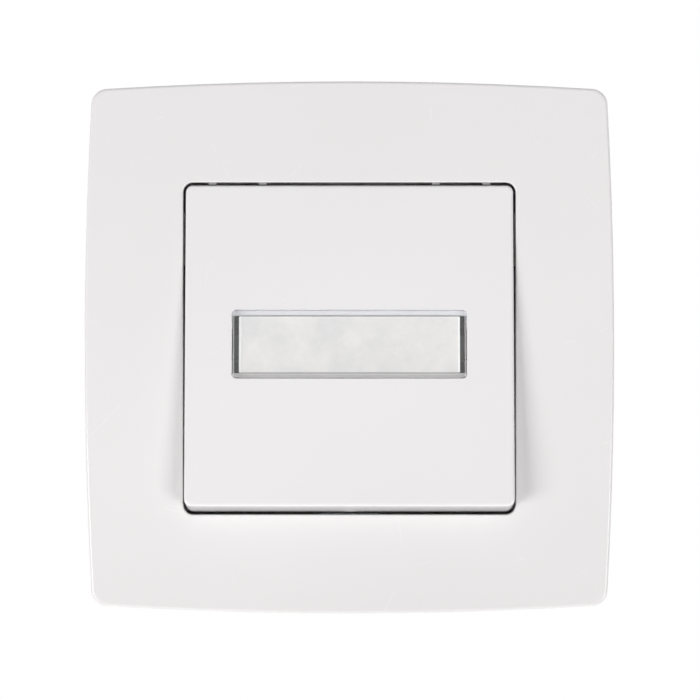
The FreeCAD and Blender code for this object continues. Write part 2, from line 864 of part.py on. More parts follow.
def rocker_cradle():
    """The carrier with the pivot pins, in the button's own frame."""
    plate = slab(cradle_w - 2 * cheek_t, cradle_h, cradle_corner_r, cradle_front, cradle_back)
    pieces = [plate]
    low = trunnion_r + cheek_foot
    half = cheek_h / 2
    for sx in (-1, 1):
        x_pair = sorted((sx * (cradle_half - cheek_t), sx * cradle_half))
        profile = [(cradle_front, -half), (cradle_front, half), (0, low), (low, low / 2)]
        profile += [(low, -low / 2), (0, -low)]
        pieces.append(side_profile(profile, x_pair[0], x_pair[1]))
        ends = sorted((sx * cradle_half, sx * (ear_outer - pin_end_gap)))
        pieces.append(pin_x(trunnion_r, 0, 0, ends[0], ends[1]))
        web_x = sorted((sx * finger_r / 2, sx * finger_web))
        web_half = finger_web_t / 2
        web_end = cradle_back + finger_web_t
        pieces.append(box(
            web_x[0], web_x[1], cradle_back - into, web_end, finger_z - web_half, finger_z + web_half,
        ))
    pieces.append(pin_y(finger_r, 0, finger_z, cradle_back - into, finger_ball))
    pieces.append(Part.makeSphere(finger_r, V(0, finger_ball, finger_z)))
    body = joined(pieces)
    front = cradle_front - past
    back = cradle_back + past
    body = body.cut(slab(cradle_window_w, cradle_window_h, chamber_r, front, back, 0, label_z))
    for sx in (-1, 1):
        for sz in (-1, 1):
            x = sx * stud_at[0]
            z = sz * stud_at[1]
            body = body.cut(pin_y(stud_pin_r + stud_pin_fit, x, z, front, back))
    return body


def plunger():
    head = finger_rest + finger_gap
    pieces = [pin_y(plunger_r, 0, finger_z, head, shoulder_y)]
    pieces.append(pin_y(plunger_flange_r, 0, finger_z, flange_top, spring_start))
    pieces.append(pin_y(stem_r, 0, finger_z, shoulder_y - into, bridge_back + stem_head_t))
    pieces.append(pin_y(stem_head_r, 0, finger_z, bridge_back, bridge_back + stem_head_t))
    body = joined(pieces)
    return body.makeFillet(plunger_edge_r, edges_at_y(body, head))


def contact_spring():
    """Short spring between the plunger's shoulder and the bridge, as a sleeve of its size."""
    outer = pin_y(plunger_r - sleeve_in, 0, finger_z, shoulder_y, bridge_y)
    return outer.cut(pin_y(stem_r + sleeve_clear, 0, finger_z, shoulder_y - past, bridge_y + past))


def contact_bridge():
    z0 = finger_z - bridge_h / 2
    strip = box(-bridge_w / 2, bridge_w / 2, bridge_y, bridge_back, z0, z0 + bridge_h)
    strip = strip.makeFillet(bridge_corner_r, edges_along(strip, Y_AXIS))
    return strip.cut(pin_y(stem_r + bridge_fit, 0, finger_z, bridge_y - past, bridge_back + past))


def bridge_contact_tips():
    tips = []
    for sx in (-1, 1):
        tip = pin_y(tip_r, sx * tip_x, finger_z, bridge_back, bridge_back + tip_t)
        tips.append(tip.makeFillet(tip_edge_r, edges_at_y(tip, bridge_back + tip_t)))
    return Part.makeCompound(tips)


def fixed_contact_tips():
    tips = []
    for sx in (-1, 1):
        tip = pin_y(tip_r + fixed_tip_more, sx * tip_x, finger_z, fixed_tip_front, strip_front)
        tips.append(tip.makeFillet(tip_edge_r, edges_at_y(tip, fixed_tip_front)))
    return Part.makeCompound(tips)


def terminal_right():
    """Brass strip from the fixed contact to the wire cage, on the right-hand side."""
    z0 = finger_z - pad_w / 2
    half = cage_side / 2
    pad = box(tip_x - pad_in, leg_x[1], strip_front, strip_back, z0, z0 + pad_w)
    leg = box(leg_x[0], leg_x[1], strip_front, strip_back, z0, cage_z - half + cage_wall / 2)
    y0 = cage_y - cage_depth / 2
    y1 = cage_y + cage_depth / 2
    cage = box(cage_x - half, cage_x + half, y0, y1, cage_z - half, cage_z + half)
    cage = cage.makeFillet(cage_corner_r, edges_along(cage, Y_AXIS))
    inside = half - cage_wall
    bore = box(cage_x - inside, cage_x + inside, y0 - past, y1 + past, cage_z - inside, cage_z + inside)
    body = joined([pad, leg, cage]).cut(bore)
    return body.cut(pin_z(screw_r + screw_fit, cage_x, cage_y, cage_z, cage_z + half + past))


def terminal_clamps():
    clamps = []
    for sx in (-1, 1):
        half = cage_side / 2 - cage_wall - clamp_gap
        x = sx * cage_x
        pad = box(x - half, x + half, cage_y - half, cage_y + half, clamp_top - clamp_t, clamp_top)
        clamps.append(pad)
    return Part.makeCompound(clamps)


def screw_slot(x, y, z, length, axis):
    """The driver slot's cutter in a screw head that ends at this point."""
    if axis == "z":
        return box(x - slot_w / 2, x + slot_w / 2, y - length, y + length, z - slot_depth, z + past)
    return box(x - length, x + length, y - past, y + slot_depth, z - slot_w / 2, z + slot_w / 2)


def terminal_screws():
    screws = []
    head_z = housing_h / 2 - terminal_head_in
    for sx in (-1, 1):
        x = sx * cage_x
        shank = pin_z(screw_r, x, cage_y, clamp_top, head_z - terminal_head_t)
        head = pin_z(terminal_head_r, x, cage_y, head_z - terminal_head_t, head_z)
        head = head.cut(screw_slot(x, cage_y, head_z, terminal_head_r + past, "z"))
        screws.append(joined([shank, head]))
    return Part.makeCompound(screws)


def lamp_holder():
    body = slab(holder_w, holder_h, holder_r, flange_front, holder_back)
    lip_w = holder_w + 2 * holder_lip
    lip_h = holder_h + 2 * holder_lip
    body = joined([body, slab(lip_w, lip_h, holder_lip_r, holder_front, flange_front)])
    body = body.cut(pin_y(lamp_r + lamp_fit, 0, 0, holder_front - past, lamp_base))
    pocket_w = holder_w - 2 * holder_wall
    pocket_h = holder_h - 2 * holder_wall
    floor = lamp_base + holder_floor
    body = body.cut(slab(pocket_w, pocket_h, holder_r, floor, holder_back + past))
    for sx in (-1, 1):
        body = body.cut(pin_y(lead_r + lead_fit, sx * lead_x, 0, lamp_base - past, floor + past))
    return body


def lamp():
    straight = pin_y(lamp_r, 0, 0, lamp_front + lamp_r, lamp_base)
    dome = Part.makeSphere(lamp_r, V(0, lamp_front + lamp_r, 0))
    return joined([straight, dome])


def lamp_resistor():
    middle = lead_x + resistor_in
    body = pin_x(resistor_r, resistor_y, 0, middle - resistor_l / 2, middle + resistor_l / 2)
    rims = [edge for edge in body.Edges if edge.BoundBox.XLength < resistor_edge_r]
    return body.makeFillet(resistor_edge_r, rims)


def lamp_leads():
    """Two wires: one straight back to the resistor, one bent out to the holder's side."""
    first = pin_y(lead_r, lead_x, 0, lamp_base, resistor_y - resistor_r)
    bend = resistor_y - lead_bend
    drop = pin_y(lead_r, -lead_x, 0, lamp_base, bend)
    run = pin_x(lead_r, bend, 0, -holder_w / 2 + holder_wall + lead_fit, -lead_x)
    elbow = Part.makeSphere(lead_r, V(-lead_x, bend, 0))
    return Part.makeCompound([first, joined([drop, run, elbow])])


def lamp_contacts():
    """Bronze leaves from the lamp holder's sides down to the terminal strips."""
    leaves = []
    for sx in (-1, 1):
        inner = holder_w / 2
        x_pair = sorted((sx * inner, sx * (inner + leaf_t)))
        foot = sorted((sx * inner, sx * (leg_x[0] + leaf_foot)))
        half = leaf_h / 2
        blade = box(x_pair[0], x_pair[1], leaf_start, strip_front, -half, half)
        base = box(foot[0], foot[1], strip_front - leaf_t, strip_front, -half, half)
        leaves.append(joined([blade, base]))
    return Part.makeCompound(leaves)


def claw_screws():
    screws = []
    for sx in (-1, 1):
        x = sx * claw_screw_x
        front = plate_front - claw_head_t
        shank = pin_y(screw_r, x, claw_z, plate_front - into, claw_screw_end)
        head = pin_y(claw_head_r, x, claw_z, front, plate_front)
        head = head.makeFillet(claw_head_edge_r, edges_at_y(head, front))
        head = head.cut(screw_slot(x, front, claw_z, claw_head_r + past, "y"))
        screws.append(joined([shank, head]))
    return Part.makeCompound(screws)


def claw_cheek(z0):
    """One side plate of the claw: an eye on the pivot, an eye for the nut's pin, and the leg."""
    z1 = z0 + claw_t
    x = claw_pivot_x
    half = claw_leg_w / 2
    pivot_eye = pin_z(claw_eye_r, x, claw_pivot_y, z0, z1)
    nut_eye = pin_z(claw_eye_r, claw_screw_x, nut_y, z0, z1)
    a = math.atan2(nut_rise, claw_arm)
    across_x = claw_eye_r * math.sin(a)
    across_y = claw_eye_r * math.cos(a)
    arm = prism([
        (x + across_x, claw_pivot_y - across_y), (claw_screw_x + across_x, nut_y - across_y),
        (claw_screw_x - across_x, nut_y + across_y), (x - across_x, claw_pivot_y + across_y),
    ], z0, z1)
    leg = box(x - half, x + half, claw_pivot_y, claw_leg_end, z0, z1)
    return [pivot_eye, nut_eye, arm, leg]


def claw_right():
    """Pressed steel claw: two side plates, the web that joins them and the toothed tip."""
    x = claw_pivot_x
    half = claw_leg_w / 2
    low = claw_z - claw_outer
    high = claw_z + claw_outer
    pieces = claw_cheek(low) + claw_cheek(high - claw_t)
    pieces.append(box(x - half, x - half + claw_t, claw_web_start, claw_leg_end, low, high))
    tip_x_far = x + claw_tip_out
    tip_y_far = claw_leg_end + claw_tip_back
    pieces.append(prism([
        (x - half, claw_leg_end - claw_tip_t / 4), (x + half, claw_leg_end - claw_leg_w),
        (tip_x_far, tip_y_far - claw_tip_t), (tip_x_far, tip_y_far), (tip_x_far - claw_tip_flat, tip_y_far),
    ], low, high))
    reach = claw_outer + lug_gap + lug_t - pin_gap
    pieces.append(pin_z(claw_pin_r, x, claw_pivot_y, claw_z - reach, claw_z + reach))
    body = joined(pieces)
    hole_r = nut_pin_r + nut_pin_gap
    body = body.cut(pin_z(hole_r, claw_screw_x, nut_y, low - past, high + past))
    pitch = 2 * claw_outer / claw_teeth
    for i in range(claw_teeth - 1):
        z = low + pitch * (i + 1)
        gap = box(
            tip_x_far - claw_tooth_depth, tip_x_far + past, claw_leg_end - claw_leg_w, tip_y_far + past,
            z - pitch / 4, z + pitch / 4,
        )
        body = body.cut(gap)
    return body


def claw_nut_right():
    """Square nut on the claw screw, with a pin on each side in the claw's eyes."""
    x = claw_screw_x
    z0 = claw_z - nut_h / 2
    nut = box(x - nut_w / 2, x + nut_w / 2, nut_y - nut_t / 2, nut_y + nut_t / 2, z0, z0 + nut_h)
    reach = claw_outer
    nut = nut.fuse(pin_z(nut_pin_r, x, nut_y, claw_z - reach, claw_z + reach))
    return nut.cut(pin_y(screw_r + nut_bore_gap, x, claw_z, nut_y - nut_t, nut_y + nut_t))


def helix_point(turn, y):
    angle = 2 * math.pi * turn
    return V(spring_mean_r * math.cos(angle), y, spring_mean_r * math.sin(angle))


def return_spring():
    """Compression spring as one round wire on quarter-turn arcs."""
    y0 = spring_start + spring_wire_r + spring_end_gap
    y1 = shelf_y - spring_wire_r - spring_end_gap
    pitch = (y1 - y0) / spring_turns
    steps = int(round(spring_turns * 4))
    arcs = []
    for i in range(steps):
        ends = [helix_point((i + k / 2) / 4, y0 + pitch * (i + k / 2) / 4) for k in range(3)]
        arcs.append(Part.Arc(ends[0], ends[1], ends[2]).toShape())
    path = Part.Wire(arcs)
    start = path.Vertexes[0].Point
    tangent = V(0, pitch / (2 * math.pi), spring_mean_r)
    circle = Part.Wire(Part.makeCircle(spring_wire_r, start, tangent))
    wire = path.makePipeShell([circle], True, False)
    wire.translate(V(0, 0, finger_z))
    print("least gap between the return spring's turns:", round(pitch - 2 * spring_wire_r, 3), "mm")
    return wire


def main():
    shapes = {
        "cover_frame": cover_frame(),
        "clip_ring": clip_ring(),
        "support_plate": support_plate(),
        "base_housing": base_housing(),
        "mechanism_cover": mechanism_cover(),
        "housing_rivets": housing_rivets(),
        "terminal_right": terminal_right(),
        "terminal_left": mirrored(terminal_right()),
        "terminal_clamps": terminal_clamps(),
        "terminal_screws": terminal_screws(),
        "fixed_contact_tips": fixed_contact_tips(),
        "lamp_holder": lamp_holder(),
        "lamp": lamp(),
        "lamp_resistor": lamp_resistor(),
        "lamp_leads": lamp_leads(),
        "lamp_contacts": lamp_contacts(),
        "claw_screws": claw_screws(),
        "push_button": at_rest_tilt(push_button()),
        "label_window": at_rest_tilt(label_window()),
        "label_card": at_rest_tilt(label_card()),
        "label_tray": at_rest_tilt(label_tray()),
        "rocker_cradle": at_rest_tilt(rocker_cradle()),
        "plunger": plunger(),
        "contact_spring": contact_spring(),
        "contact_bridge": contact_bridge(),
        "bridge_contact_tips": bridge_contact_tips(),
        "return_spring": return_spring(),
        "claw_right": claw_right(),
        "claw_left": mirrored(claw_right()),
        "claw_nut_right": claw_nut_right(),
        "claw_nut_left": mirrored(claw_nut_right()),
    }
    os.makedirs("parts", exist_ok=True)
    for name, shape in shapes.items():
        if not shape.isValid():
            print("not valid:", name)
        shape.exportStep("parts/" + name + ".step")
    print("stroke of the plunger:", round(stroke, 4), "mm")


main()
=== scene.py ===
"""Illuminated push button switch: finishes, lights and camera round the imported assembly.

Everything is in metres in the assembly's own frame: X to the right, Y into the wall, Z up, and the wall's
surface is the plane Y = 0. The sections follow the switch as it is put together, from the plate outwards.
"""
import json
import math

import bpy
import numpy as np
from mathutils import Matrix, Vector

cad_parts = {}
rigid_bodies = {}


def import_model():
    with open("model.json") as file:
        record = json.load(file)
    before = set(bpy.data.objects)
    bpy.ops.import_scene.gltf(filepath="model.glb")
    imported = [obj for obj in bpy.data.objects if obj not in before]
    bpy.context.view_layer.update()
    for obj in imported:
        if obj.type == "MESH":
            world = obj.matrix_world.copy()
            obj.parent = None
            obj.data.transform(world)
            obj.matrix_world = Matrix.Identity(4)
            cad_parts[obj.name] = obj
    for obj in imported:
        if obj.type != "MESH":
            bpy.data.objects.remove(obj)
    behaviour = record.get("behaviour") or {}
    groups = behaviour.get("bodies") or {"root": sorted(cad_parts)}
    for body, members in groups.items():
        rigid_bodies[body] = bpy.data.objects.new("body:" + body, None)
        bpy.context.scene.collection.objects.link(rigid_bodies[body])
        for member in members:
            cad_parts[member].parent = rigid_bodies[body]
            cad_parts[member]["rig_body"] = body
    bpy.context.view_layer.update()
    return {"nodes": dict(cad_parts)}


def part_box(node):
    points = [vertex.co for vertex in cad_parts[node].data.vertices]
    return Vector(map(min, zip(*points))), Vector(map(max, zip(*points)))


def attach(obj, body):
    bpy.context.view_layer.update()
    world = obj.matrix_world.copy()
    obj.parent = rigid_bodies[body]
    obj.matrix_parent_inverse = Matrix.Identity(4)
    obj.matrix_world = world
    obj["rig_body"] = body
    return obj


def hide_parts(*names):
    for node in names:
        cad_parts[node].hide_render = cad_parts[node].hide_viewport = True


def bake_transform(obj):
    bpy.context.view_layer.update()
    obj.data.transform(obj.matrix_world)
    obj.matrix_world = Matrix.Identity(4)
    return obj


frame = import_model()

# The camera stands square to the switch, 0.4 m in front of the frame's face, as in the photograph.
# 111 mm of that plane fill the picture's width, and its middle lies a little right of and below the switch's.
view_distance = 0.400
view_width = 0.1109
aim_right = 0.00009
aim_down = 0.00041
face_plane = float(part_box("cover_frame")[0][1])
camera_data = bpy.data.cameras.new("front_camera")
camera_data.sensor_width = 36.0
camera_data.lens = camera_data.sensor_width * view_distance / view_width
camera_data.clip_start = 0.01
camera = bpy.data.objects.new("front_camera", camera_data)
camera.location = (aim_right, face_plane - view_distance, -aim_down)
camera.rotation_euler = (math.pi / 2, 0.0, 0.0)
bpy.context.scene.collection.objects.link(camera)
bpy.context.scene.camera = camera


# Support plate: 1.2 mm steel sheet, blanked and bent in a press, then bright zinc plated.
# The plating is a cool mirror broken by the sheet's fine rolling lines and by soft cloudy patches.
def linear(hex_colour):
    """An sRGB hex colour as the linear numbers that a shader socket takes, and 1 for the alpha.

    A channel c up to 0.04045 gives c / 12.92, a lighter one gives ((c + 0.055) / 1.055) to the power of 2.4.
    """
    channels = np.array([int(hex_colour[i:i + 2], 16) for i in (1, 3, 5)]) / 255
    curved = ((channels + 0.055) / 1.055) ** 2.4
    straight = channels / 12.92
    return tuple(np.where(channels > 0.04045, curved, straight).tolist()) + (1.0,)


def node(tree, kind, inputs=None, stops=(), **settings):
    """Adds a shader node. An input given as (node, output) is linked, any other is set as a value.

    A colour ramp is also given its stops, as (place, hex colour).
    """
    made = tree.nodes.new("ShaderNode" + kind)
    for name, value in settings.items():
        setattr(made, name, value)
    for place, colour in stops[1:-1]:
        made.color_ramp.elements.new(place)
    for number, (place, colour) in enumerate(stops):
        made.color_ramp.elements[number].position = place
        made.color_ramp.elements[number].color = linear(colour)
    for name, value in (inputs or {}).items():
        if isinstance(value, tuple) and isinstance(value[0], bpy.types.Node):
            tree.links.new(value[0].outputs[value[1]], made.inputs[name])
        else:
            made.inputs[name].default_value = value
    return made


def start_finish(name, **sockets):
    """A material whose shader has these sockets set; gives it with its tree, shader and coordinates."""
    made = bpy.data.materials.new(name)
    made.use_nodes = True
    tree = made.node_tree
    shader = tree.nodes["Principled BSDF"]
    for socket, value in sockets.items():
        shader.inputs[socket.replace("_", " ")].default_value = value
    return made, tree, shader, (node(tree, "TexCoord"), "Object")


def plug(tree, shader, **sources):
    """Links outputs to the shader's sockets."""
    for socket, (source, output) in sources.items():
        tree.links.new(source.outputs[output], shader.inputs[socket.replace("_", " ")])


def per_mm(size):
    """A pattern scale for features of this size in millimetres: 1000 / size, as places are in metres."""
    return 1000.0 / size


smooth_under = math.radians(35.0)


def surfaced(part, points, triangles, material, spans=None):
    """A piece made of these triangles, which stands for the node and, unless it spans a joint, moves with it.

    A piece that spans a joint has its placement baked into its points and moves with no body; the bodies and
    places given in spans are not used.

    Points that coincide become one, and a triangle that has the same point twice goes. Edges flatter than
    smooth_under are smoothed, and large faces keep their own normal, so flat faces stay flat beside their
    rounded edges.
    """
    kept, index = np.unique(np.round(points, 7), axis=0, return_inverse=True)
    faces = index.reshape(-1)[triangles]
    real = (faces[:, 0] != faces[:, 1]) & (faces[:, 1] != faces[:, 2]) & (faces[:, 2] != faces[:, 0])
    mesh = bpy.data.meshes.new(part + "_surface")
    mesh.from_pydata(kept.tolist(), [], faces[real].tolist())
    mesh.shade_smooth()
    mesh.set_sharp_from_angle(angle=smooth_under)
    mesh.materials.append(material)
    piece = bpy.data.objects.new(part + "_surface", mesh)
    bpy.context.scene.collection.objects.link(piece)
    weighting = piece.modifiers.new("flat_faces_first", "WEIGHTED_NORMAL")
    weighting.mode = "FACE_AREA"
    weighting.keep_sharp = True
    body = frame["nodes"][part]["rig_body"]
    if spans:
        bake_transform(piece)
    else:
        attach(piece, body)
    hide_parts(part)
    return piece


def solid_triangles(part):
    """The CAD node's points, in metres, and its triangles as three point numbers each."""
    source = frame["nodes"][part].data
    points = np.empty(len(source.vertices) * 3)
    source.vertices.foreach_get("co", points)
    corners = np.empty(len(source.loops), dtype=np.int64)
    source.loops.foreach_get("vertex_index", corners)
    return points.reshape(-1, 3), corners.reshape(-1, 3)


def dressed(part, material, spans=None):
    """The CAD node's own triangles as a smoothly shaded piece with this material."""
    return surfaced(part, *solid_triangles(part), material, spans=spans)


def zinc_plated(name, colour, rolling_mm):
    """Bright zinc on steel: rolling lines run along X, cloudy 3 mm patches change the tone and the gloss.

    The lines are noise whose X coordinate is multiplied by 0.06, so they are about 17 times as long as wide.
    """
    made, tree, shader, place = start_finish(name, Metallic=1.0)
    clouds = node(tree, "TexNoise", {"Vector": place, "Scale": per_mm(3.0), "Detail": 3.0})
    stretch = node(tree, "Mapping", {"Vector": place, "Scale": (0.06, 1.0, 1.0)})
    lines = node(tree, "TexNoise", {"Vector": (stretch, "Vector"), "Scale": per_mm(rolling_mm),
                                    "Detail": 2.0})
    gloss = node(tree, "MapRange", {"Value": (clouds, "Fac"), "From Min": 0.3, "From Max": 0.7,
                                    "To Min": 0.20, "To Max": 0.36})
    relief = node(tree, "Bump", {"Height": (lines, "Fac"), "Strength": 0.35, "Distance": 0.00001})
    tone = node(tree, "ValToRGB", {"Fac": (clouds, "Fac")},
                [(0.25, colour[0]), (0.55, colour[1]), (0.8, colour[2])])
    plug(tree, shader, Base_Color=(tone, "Color"), Roughness=(gloss, "Result"), Normal=(relief, "Normal"))
    return made


plate_zinc = zinc_plated("bright_zinc_plated_steel_sheet", ("#B9BEC4", "#C6CACF", "#D2D4D6"), 0.35)
dressed("support_plate", plate_zinc)


# Claws: 1 mm spring steel strip, stamped with teeth and folded into a fork, zinc plated with a warmer tone.
# Their screws pull the trunnion nuts forward, which swings each toothed end out against the box.
claw_zinc = zinc_plated("zinc_plated_spring_steel_claw", ("#B3B5B3", "#C3C4BF", "#CFCFC8"), 0.25)
for side in ("left", "right"):
    dressed("claw_" + side, claw_zinc)


# Claw nuts, terminal screws and rivets: turned steel, zinc plated. Their axes run along Y and turning leaves
# rings about them, so the relief is a fine ripple along Y.
turned_zinc, tree, shader, place = start_finish("turned_zinc_plated_steel", Metallic=1.0)
grain = node(tree, "TexNoise", {"Vector": place, "Scale": per_mm(0.6), "Detail": 4.0})
gloss = node(tree, "MapRange", {"Value": (grain, "Fac"), "From Min": 0.3, "From Max": 0.7,
                                "To Min": 0.18, "To Max": 0.34})
rings = node(tree, "TexWave", {"Vector": place, "Scale": per_mm(0.9), "Distortion": 0.4},
             wave_type="BANDS", bands_direction="Y")
relief = node(tree, "Bump", {"Height": (rings, "Fac"), "Strength": 0.25, "Distance": 0.00001})
tone = node(tree, "ValToRGB", {"Fac": (grain, "Fac")}, [(0.3, "#B4B7BA"), (0.7, "#CDCFD1")])
plug(tree, shader, Base_Color=(tone, "Color"), Roughness=(gloss, "Result"), Normal=(relief, "Normal"))
for part in ("claw_nut_left", "claw_nut_right", "terminal_screws", "housing_rivets"):
    dressed(part, turned_zinc)


# Claw screws: M3 slotted steel screws, zinc plated like the nuts that run on them.
# The thread has its real pitch and depth, with an undercut below the head and a chamfered tip.
def cells(*grids):
    """Two triangles for every cell of these grids of points, each with shape (rows, columns, 3)."""
    triangles = []
    first = 0
    for grid in grids:
        corner = first + np.arange(grid[..., 0].size).reshape(grid.shape[:2])
        here, beside, across, below = corner[:-1, :-1], corner[:-1, 1:], corner[1:, 1:], corner[1:, :-1]
        triangles.append(np.stack([here, beside, across], axis=-1).reshape(-1, 3))
        triangles.append(np.stack([here, across, below], axis=-1).reshape(-1, 3))
        first += corner.size
    return np.vstack([grid.reshape(-1, 3) for grid in grids]), np.vstack(triangles)


def turned(radius, depth, angle):
    """Points round the Y axis: (radius times cosine of the angle, depth, minus radius times its sine)."""
    radius, depth, angle = np.broadcast_arrays(radius, depth, angle)
    return np.stack([radius * np.cos(angle), depth, -radius * np.sin(angle)], axis=-1)


def slotted_screw(head_front, head_back, tip, head_r, thread_r, pitch, slot):
    """Triangles of a slotted screw along Y, round the origin, in metres.

    Head: each ring of the head is cut at the slot's two edges, at the angle arcsin(half slot width / radius).
    Its columns between them are pressed down to the slot's floor, and the columns at an edge are doubled.
    Thread: point (k, j) lies at depth start + pitch * (turns + share + j / columns), so a row is a helix.
    The shares of a pitch are root, root, crest, crest; near both ends the radius is held to a 45 degree cone.
    """
    half_slot, slot_floor = slot
    edge = head_r / 6
    neck_r = thread_r * 0.7
    thread_depth = 0.54 * pitch
    bend = np.linspace(0, math.pi / 2, 6)
    ring_r = np.concatenate([[half_slot, head_r / 2], head_r - edge + edge * np.sin(bend), [head_r, neck_r]])
    ring_y = np.concatenate([[head_front] * 2, head_front + edge * (1 - np.cos(bend)), [head_back] * 2])
    half = np.arcsin(np.minimum(1.0, half_slot / ring_r))[:, None]
    narrow = np.linspace(0, 1, 5)
    wide = np.linspace(0, 1, 17)
    angle = np.hstack([-half + 2 * half * narrow, half + (math.pi - 2 * half) * wide,
                       math.pi - half + 2 * half * narrow, math.pi + half + (math.pi - 2 * half) * wide,
                       2 * math.pi - half])
    in_slot = np.concatenate([narrow >= 0, wide < 0, narrow >= 0, wide < 0, [True]])
    depth = np.where(in_slot, np.maximum(ring_y[:, None], slot_floor), ring_y[:, None])
    head = turned(ring_r[:, None], depth, angle)
    floor_ring = head[:1, in_slot]
    floor_disc = np.concatenate([np.broadcast_to([0.0, slot_floor, 0.0], floor_ring.shape), floor_ring])
    columns = np.linspace(0, 1, 25)
    turns = np.arange(-1, math.ceil((tip - head_back) / pitch) + 1)
    share = (turns[:, None] + np.array([0.0, 0.25, 0.5625, 0.6875])).reshape(-1, 1)
    depth = np.clip(head_back + pitch * (share + columns), head_back, tip)
    radius = np.where(np.arange(share.size) % 4 < 2, thread_r - thread_depth, thread_r)[:, None]
    radius = np.minimum(radius, neck_r + np.minimum(depth - head_back, tip - depth))
    shank = turned(radius, depth, 2 * math.pi * columns)
    end_disc = turned(np.array([[neck_r], [0.0]]), tip, 2 * math.pi * columns)
    return cells(head, floor_disc, shank, end_disc)


screw_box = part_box("claw_screws")
head_front, tip = float(screw_box[0][1]), float(screw_box[1][1])
head_back = head_front + 0.0018
slot_floor = head_front + 0.0007
half_slot = 0.0004
head_r = 0.0030
thread_r = 0.00145
pitch = 0.0005
screw_aside = 0.0245
screw_below = 0.0100
points, triangles = slotted_screw(head_front, head_back, tip, head_r, thread_r, pitch,
                                  (half_slot, slot_floor))
pair = [points + [side * screw_aside, 0.0, -screw_below] for side in (-1, 1)]
surfaced("claw_screws", np.vstack(pair), np.vstack([triangles, triangles + len(points)]), turned_zinc)


# Contact block housing: moulded urea resin, a warm off-white that drifts a little over 14 mm.
# The mould was spark eroded, which leaves an even matt grain of about a quarter of a millimetre.
housing_urea, tree, shader, place = start_finish("moulded_urea_resin_off_white", IOR=1.55)
grain = node(tree, "TexNoise", {"Vector": place, "Scale": per_mm(0.25), "Detail": 2.0, "Roughness": 0.7})
flow = node(tree, "TexNoise", {"Vector": place, "Scale": per_mm(14.0), "Detail": 2.0})
tone = node(tree, "ValToRGB", {"Fac": (flow, "Fac")}, [(0.3, "#D9D4C8"), (0.7, "#E2DED3")])
gloss = node(tree, "MapRange", {"Value": (grain, "Fac"), "To Min": 0.38, "To Max": 0.55})
relief = node(tree, "Bump", {"Height": (grain, "Fac"), "Strength": 0.4, "Distance": 0.00002})
plug(tree, shader, Base_Color=(tone, "Color"), Roughness=(gloss, "Result"), Normal=(relief, "Normal"))
dressed("base_housing", housing_urea)


# Terminals, contact bridge, lamp leads and leaf contacts: brass strip, blanked and bent.
# Bare brass is warm yellow with a satin rolled face and slightly browner patches where it has been handled.
strip_brass, tree, shader, place = start_finish("rolled_brass_strip", Metallic=1.0)
handled = node(tree, "TexNoise", {"Vector": place, "Scale": per_mm(2.2), "Detail": 4.0})
tone = node(tree, "ValToRGB", {"Fac": (handled, "Fac")},
            [(0.25, "#B8923F"), (0.5, "#CBA95A"), (0.8, "#D8BC74")])
gloss = node(tree, "MapRange", {"Value": (handled, "Fac"), "To Min": 0.40, "To Max": 0.22})
plug(tree, shader, Base_Color=(tone, "Color"), Roughness=(gloss, "Result"))
for part in ("terminal_left", "terminal_right", "contact_bridge", "lamp_leads", "lamp_contacts"):
    dressed(part, strip_brass)
dressed("terminal_clamps", claw_zinc)


# Contact tips: silver alloy rivets, pressed domes with a pale, slightly frosted face.
# A thin yellowish film lies on them in patches of 0.8 mm, which are a little duller.
tip_silver, tree, shader, place = start_finish("silver_contact_alloy", Metallic=1.0)
film = node(tree, "TexNoise", {"Vector": place, "Scale": per_mm(0.8), "Detail": 3.0})
tone = node(tree, "ValToRGB", {"Fac": (film, "Fac")}, [(0.3, "#D0CDC2"), (0.7, "#E4E3DF")])
gloss = node(tree, "MapRange", {"Value": (film, "Fac"), "To Min": 0.30, "To Max": 0.18})
plug(tree, shader, Base_Color=(tone, "Color"), Roughness=(gloss, "Result"))
for part in ("fixed_contact_tips", "bridge_contact_tips"):
    dressed(part, tip_silver)


# Springs: patented steel wire, drawn and coiled, grey with a fine drawn lustre. They are hidden in the
# housing. The return spring stands on the housing's shelf and reaches to the plunger.
wire_steel, tree, shader, place = start_finish("drawn_spring_steel_wire", Metallic=1.0)
drawn = node(tree, "TexNoise", {"Vector": place, "Scale": per_mm(0.3), "Detail": 3.0})
tone = node(tree, "ValToRGB", {"Fac": (drawn, "Fac")}, [(0.3, "#85888B"), (0.7, "#A3A6A8")])
gloss = node(tree, "MapRange", {"Value": (drawn, "Fac"), "To Min": 0.24, "To Max": 0.40})
plug(tree, shader, Base_Color=(tone, "Color"), Roughness=(gloss, "Result"))
low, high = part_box("return_spring")
shelf_end = Vector(((low.x + high.x) / 2, high.y, (low.z + high.z) / 2))
plunger_end = Vector((shelf_end.x, low.y, shelf_end.z))
plunger_body = frame["nodes"]["plunger"]["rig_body"]
dressed("return_spring", wire_steel, spans=(plunger_body, shelf_end, plunger_end))


def coil(start, end, turns, mean_r, wire_r):
    """Triangles of a helical wire spring along Y, round the origin, in metres.

    The wire's middle is at (mean_r cos a, depth, -mean_r sin a), and the depth rises evenly with the angle a.
    The wire's section is a ring of radius wire_r in the plane through the Y axis at that angle. A disc closes
    each end.
    """
    along = np.linspace(0, 1, int(turns * 32) + 1)[:, None]
    round_wire = np.linspace(0, 2 * math.pi, 13)
    swell = wire_r * np.cos(round_wire)
    rise = wire_r * np.sin(round_wire)
    middle = start + wire_r + (end - start - 2 * wire_r) * along
    angle = 2 * math.pi * turns * along
    wire = turned(mean_r + swell, middle + rise, angle)
    first = turned(mean_r + np.outer([0.0, 1.0], swell), middle[0] + np.outer([0.0, 1.0], rise), angle[0])
    last = turned(mean_r + np.outer([1.0, 0.0], swell), middle[-1] + np.outer([1.0, 0.0], rise), angle[-1])
    return cells(wire, first, last)


